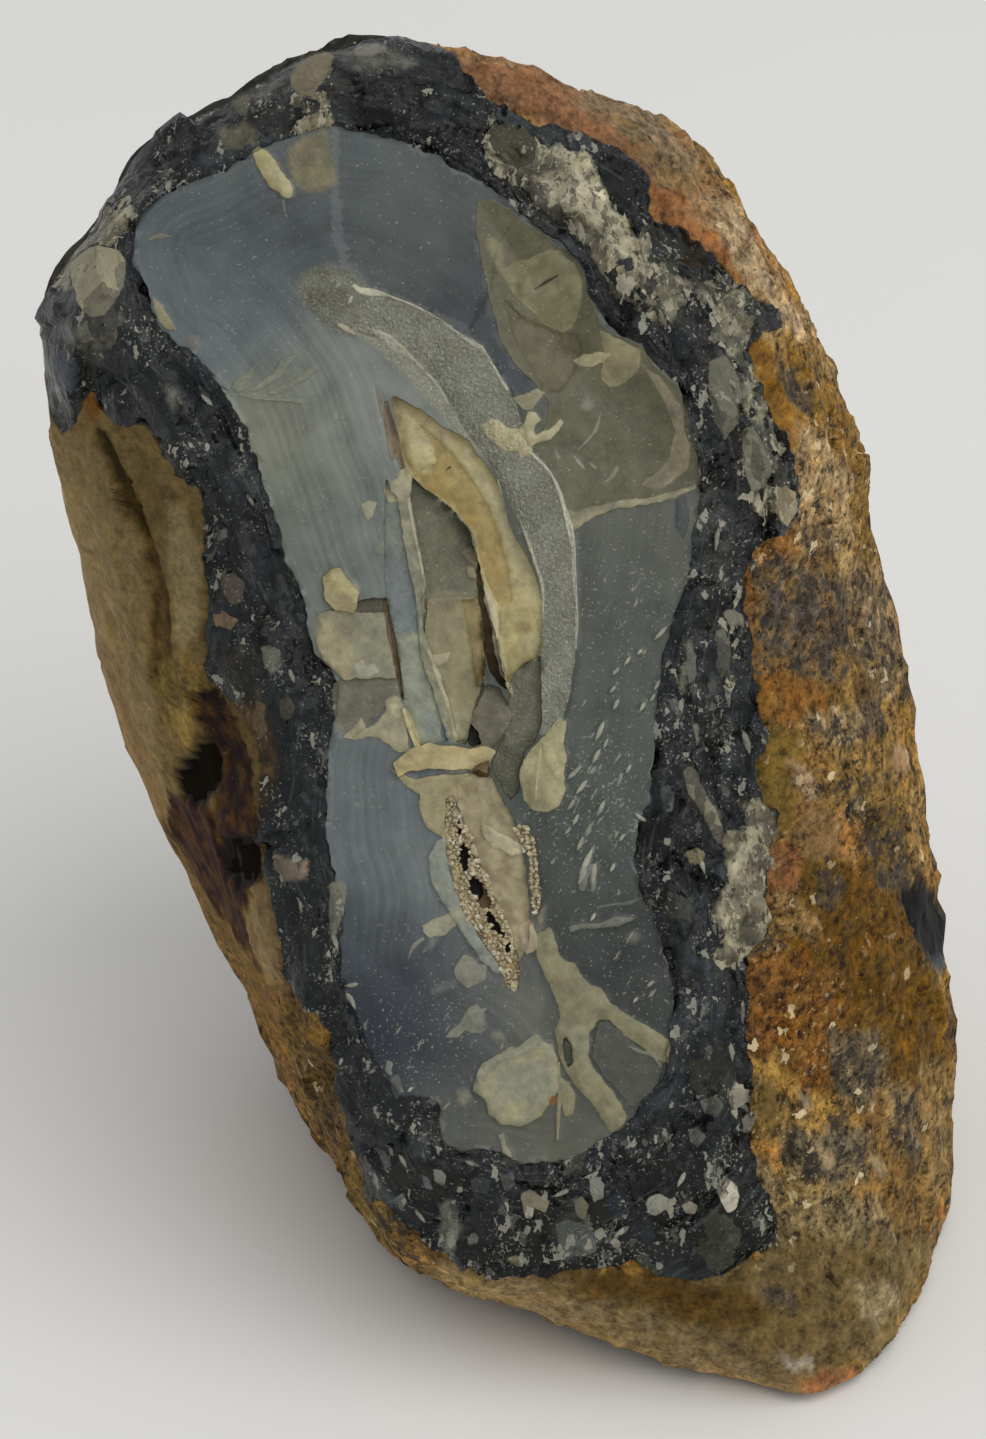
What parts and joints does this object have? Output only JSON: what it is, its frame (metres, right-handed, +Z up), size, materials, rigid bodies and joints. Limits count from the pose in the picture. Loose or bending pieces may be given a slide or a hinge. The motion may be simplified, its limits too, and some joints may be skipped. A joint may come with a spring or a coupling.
{
  "type": "agate geode",
  "caption": "Hand-sized agate nodule, broken open to a banded chalcedony face with a crystal-lined slit, standing on a small natural flat.",
  "frame": {"origin": "on the ground, under the middle of the stone's box", "axes": "+Z up, the broken face looks towards -Y and leans back by thirty degrees, +X to the right as seen from the face"},
  "size_m": [0.0848, 0.085, 0.1069],
  "materials": {
    "agate_stone": "weathered ochre skin, black rim and blue-grey banded agate with a waxy break",
    "quartz_druse": "small clear to honey-coloured quartz crystals"
  },
  "bodies": {
    "root": {"agate_nodule": "agate_stone"}
  },
  "joints": []
}
